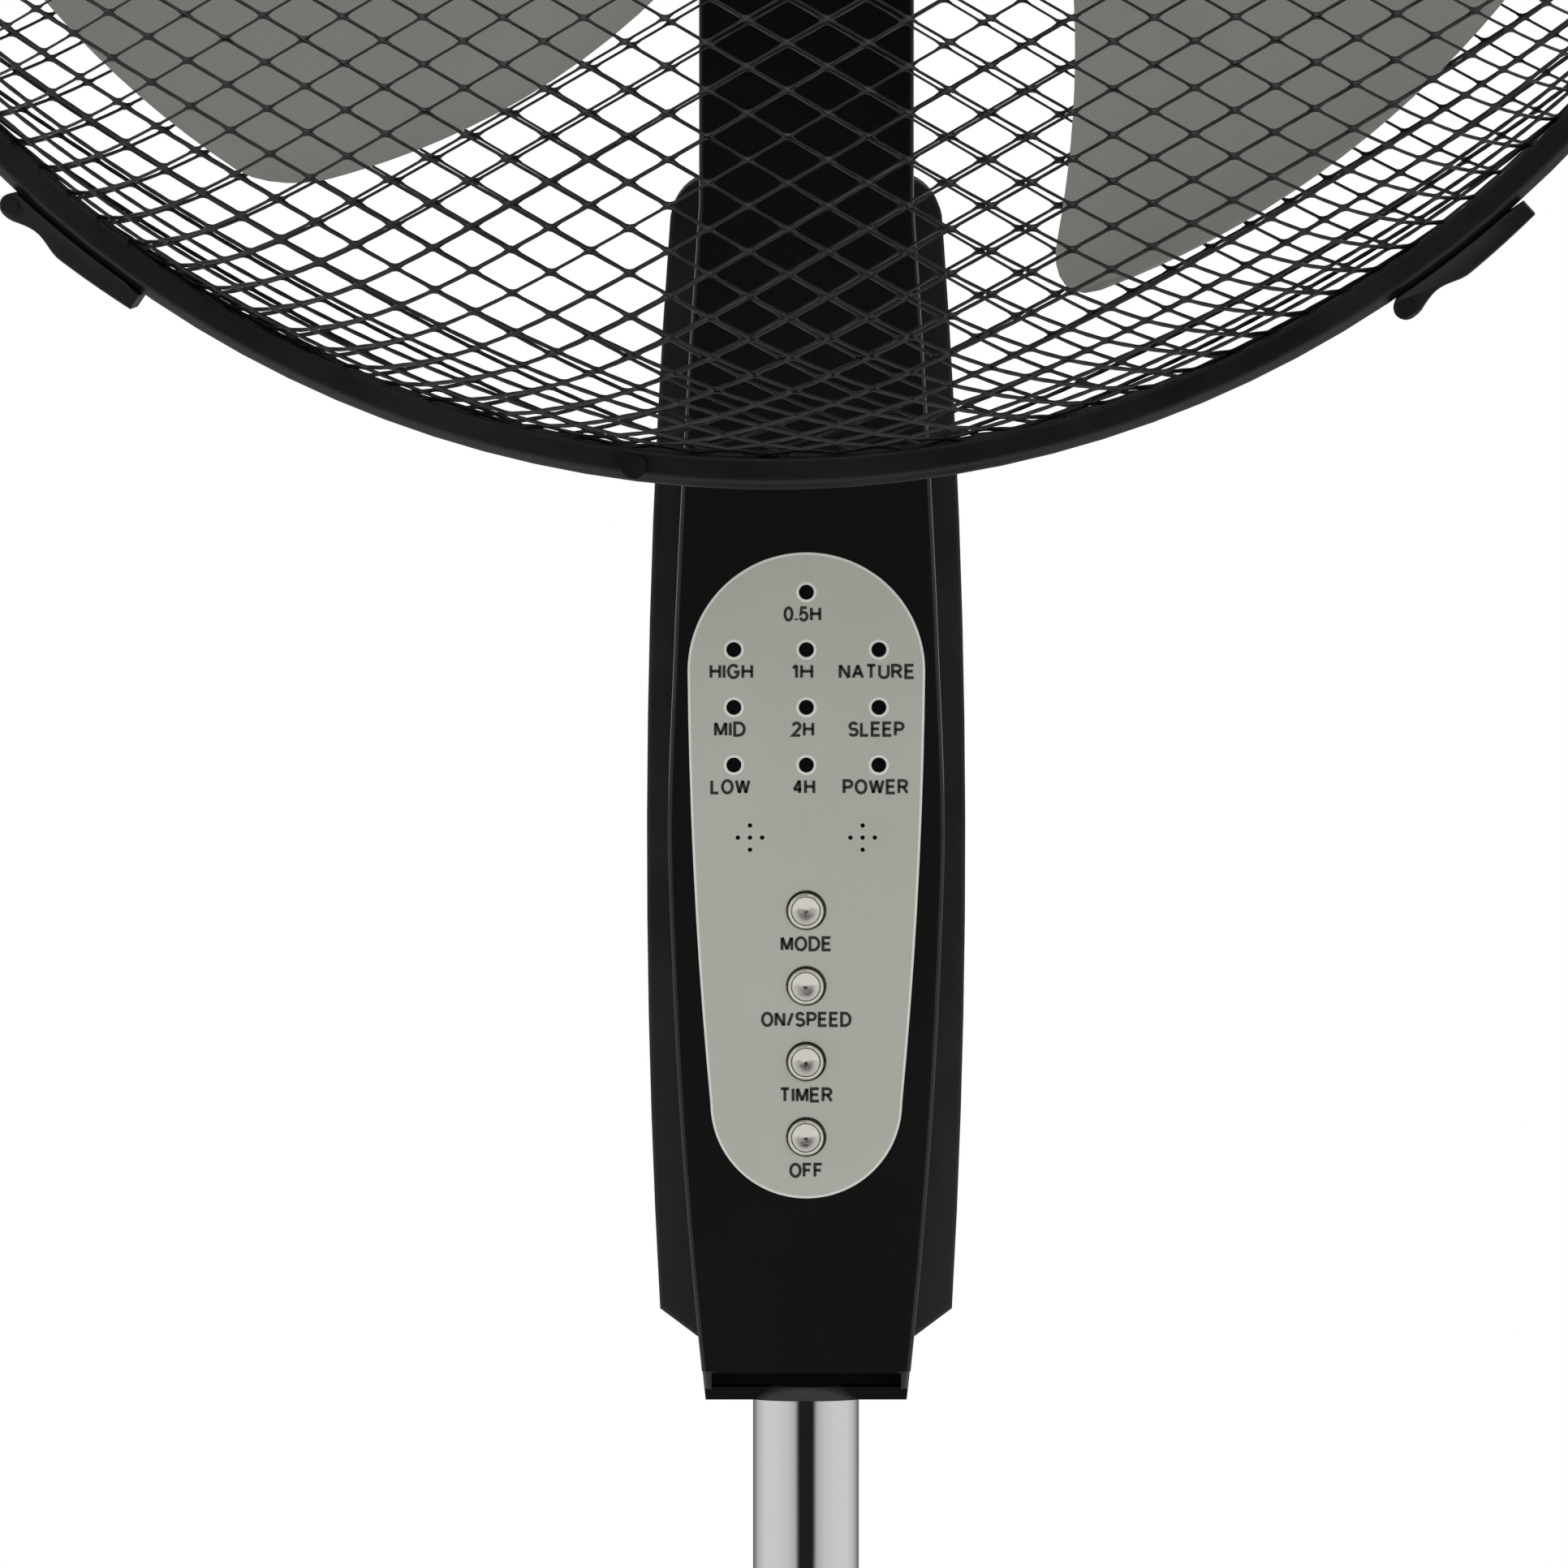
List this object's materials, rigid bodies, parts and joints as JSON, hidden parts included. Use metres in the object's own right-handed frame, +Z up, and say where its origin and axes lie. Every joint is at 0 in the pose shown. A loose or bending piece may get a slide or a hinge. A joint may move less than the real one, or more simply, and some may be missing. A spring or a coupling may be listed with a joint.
{
  "type": "pedestal fan",
  "caption": "Free-standing fan: round weighted base, sliding chrome pole, control box with buttons, tilting and oscillating head, mesh guard and blades.",
  "frame": {"origin": "on the floor under the pole's axis", "axes": "+Z up along the pole, the fan blows towards -Y, +X to the right of someone facing the fan"},
  "size_m": [0.4296, 0.4, 1.28],
  "materials": {
    "base_black": "gloss black moulded plastic",
    "steel_weight": "cast iron, dark paint",
    "foot_rubber": "matte black rubber",
    "screw_black": "black oxide steel",
    "screw_steel": "zinc plated screws",
    "pole_chrome": "polished chrome tube",
    "socket_steel": "black painted steel",
    "collar_plastic": "satin black plastic",
    "bush_nylon": "natural nylon",
    "front_gloss": "piano black gloss plastic",
    "rear_satin": "satin dark grey-black plastic",
    "panel_silver": "silver-grey painted trim panel",
    "board_green": "solder-masked circuit board",
    "led_dark": "dark smoked lens",
    "switch_black": "black switch body",
    "button_chrome": "chrome plated plastic",
    "neck_alloy": "cast alloy",
    "motor_alloy": "cast aluminium end shield",
    "stator_steel": "laminated electrical steel",
    "copper": "enamelled copper winding",
    "bronze": "sintered bronze bush",
    "capacitor_white": "white capacitor case",
    "gear_nylon": "moulded gear nylon",
    "guard_black": "black powder-coated expanded steel mesh",
    "rim_black": "black painted steel rim",
    "clip_black": "black plastic clip",
    "blade_silver": "silver-grey moulded plastic",
    "nut_plastic": "black plastic",
    "badge_silver": "silver painted plastic"
  },
  "bodies": {
    "base": {"base_cover": "base_black", "base_plate": "collar_plastic", "base_weight": "steel_weight", "base_feet": "foot_rubber", "base_screws": "screw_steel", "pole_socket": "socket_steel", "base_bolt": "screw_steel", "socket_cover": "base_black", "outer_pole": "pole_chrome", "height_collar": "collar_plastic", "clamp_sleeve": "bush_nylon"},
    "lock_ring": {"lock_ring": "collar_plastic"},
    "column": {"inner_pole": "pole_chrome", "pole_guide": "bush_nylon", "front_shell": "front_gloss", "rear_shell": "rear_satin", "panel_plate": "panel_silver", "control_board": "board_green", "led_set": "led_dark", "switch_set": "switch_black", "buzzer": "switch_black", "box_screws": "screw_steel", "cord_gland": "collar_plastic", "neck_support": "neck_alloy", "tilt_bolt": "screw_steel"},
    "button_mode": {"button_mode": "button_chrome"},
    "button_speed": {"button_speed": "button_chrome"},
    "button_timer": {"button_timer": "button_chrome"},
    "button_off": {"button_off": "button_chrome"},
    "tilt_bracket": {"tilt_bracket": "neck_alloy"},
    "head": {"swivel_pin": "screw_steel", "motor_front_shield": "motor_alloy", "motor_rear_shield": "motor_alloy", "stator_core": "stator_steel", "stator_coils": "copper", "shaft_bearings": "bronze", "motor_capacitor": "capacitor_white", "motor_housing": "base_black", "gearbox_housing": "switch_black", "rear_guard": "guard_black", "front_guard": "guard_black", "rear_rim": "rim_black", "front_rim": "rim_black", "guard_nut": "nut_plastic", "guard_badge": "badge_silver", "rim_screw": "screw_black", "clip_pins": "screw_black"},
    "impeller": {"impeller": "blade_silver", "rotor": "stator_steel", "motor_shaft": "screw_steel", "spinner_nut": "nut_plastic"},
    "worm_wheel": {"worm_wheel": "gear_nylon"},
    "crank_gear": {"crank_gear": "gear_nylon"},
    "link_rod": {"link_rod": "screw_steel"},
    "clutch_knob": {"clutch_knob": "collar_plastic"},
    "guard_clip_1": {"guard_clip_1": "clip_black"},
    "guard_clip_2": {"guard_clip_2": "clip_black"},
    "guard_clip_3": {"guard_clip_3": "clip_black"},
    "guard_clip_4": {"guard_clip_4": "clip_black"},
    "guard_clip_5": {"guard_clip_5": "clip_black"}
  },
  "joints": [
    {"name": "height_slide", "type": "slide", "parent": "base", "child": "column", "axis": [0, 0, 1], "range_m": [-0.15, 0.08]},
    {"name": "lock_ring_turn", "type": "hinge", "parent": "base", "child": "lock_ring", "pos_m": [0, 0, 0.476], "axis": [0, 0, 1], "range_deg": [0, 120]},
    {"name": "tilt", "type": "hinge", "parent": "column", "child": "tilt_bracket", "pos_m": [0, 0, 0.97], "axis": [-1, 0, 0], "range_deg": [-10, 20]},
    {"name": "oscillation", "type": "hinge", "parent": "tilt_bracket", "child": "head", "pos_m": [0, 0, 1], "axis": [0, 0, 1], "range_deg": [-36, 44]},
    {"name": "fan_spin", "type": "hinge", "parent": "head", "child": "impeller", "pos_m": [-0.00698, -0.09976, 1.06], "axis": [-0.0698, -0.9976, 0], "continuous": true},
    {"name": "worm_wheel_spin", "type": "hinge", "parent": "head", "child": "worm_wheel", "pos_m": [0.01997, 0.03469, 1.06], "axis": [0, 0, 1], "continuous": true},
    {"name": "crank_spin", "type": "hinge", "parent": "head", "child": "crank_gear", "pos_m": [0.00293, 0.0419, 1.02], "axis": [0, 0, 1], "continuous": true},
    {"name": "link_swing", "type": "hinge", "parent": "tilt_bracket", "child": "link_rod", "pos_m": [-0.018, 0, 1.004], "axis": [0, 0, 1], "range_deg": [-40, 50]},
    {"name": "clutch_pull", "type": "slide", "parent": "head", "child": "clutch_knob", "axis": [0, 0, 1], "range_m": [0, 0.006]},
    {"name": "mode_press", "type": "slide", "parent": "column", "child": "button_mode", "axis": [0, 1, 0], "range_m": [0, 0.0012], "stiffness_N_per_m": 600},
    {"name": "speed_press", "type": "slide", "parent": "column", "child": "button_speed", "axis": [0, 1, 0], "range_m": [0, 0.0012], "stiffness_N_per_m": 600},
    {"name": "timer_press", "type": "slide", "parent": "column", "child": "button_timer", "axis": [0, 1, 0], "range_m": [0, 0.0012], "stiffness_N_per_m": 600},
    {"name": "off_press", "type": "slide", "parent": "column", "child": "button_off", "axis": [0, 1, 0], "range_m": [0, 0.0012], "stiffness_N_per_m": 600},
    {"name": "clip_1_swing", "type": "hinge", "parent": "head", "child": "guard_clip_1", "pos_m": [0.11558, -0.11334, 0.88076], "axis": [-0.0698, -0.9976, 0], "range_deg": [-60, 0]},
    {"name": "clip_2_swing", "type": "hinge", "parent": "head", "child": "guard_clip_2", "pos_m": [0.202, -0.11938, 1.11722], "axis": [-0.0698, -0.9976, 0], "range_deg": [-60, 0]},
    {"name": "clip_3_swing", "type": "hinge", "parent": "head", "child": "guard_clip_3", "pos_m": [0.0078, -0.1058, 1.27697], "axis": [-0.0698, -0.9976, 0], "range_deg": [-60, 0]},
    {"name": "clip_4_swing", "type": "hinge", "parent": "head", "child": "guard_clip_4", "pos_m": [-0.20668, -0.0908, 1.14585], "axis": [-0.0698, -0.9976, 0], "range_deg": [-60, 0]},
    {"name": "clip_5_swing", "type": "hinge", "parent": "head", "child": "guard_clip_5", "pos_m": [-0.1539, -0.09449, 0.89963], "axis": [-0.0698, -0.9976, 0], "range_deg": [-60, 0]}
  ],
  "couplings": [
    {"joint": "worm_wheel_spin", "follows": "fan_spin", "ratio": 0.019231},
    {"joint": "crank_spin", "follows": "fan_spin", "ratio": -0.005017},
    {"joint": "link_swing", "follows": "oscillation", "ratio": 0.93}
  ]
}
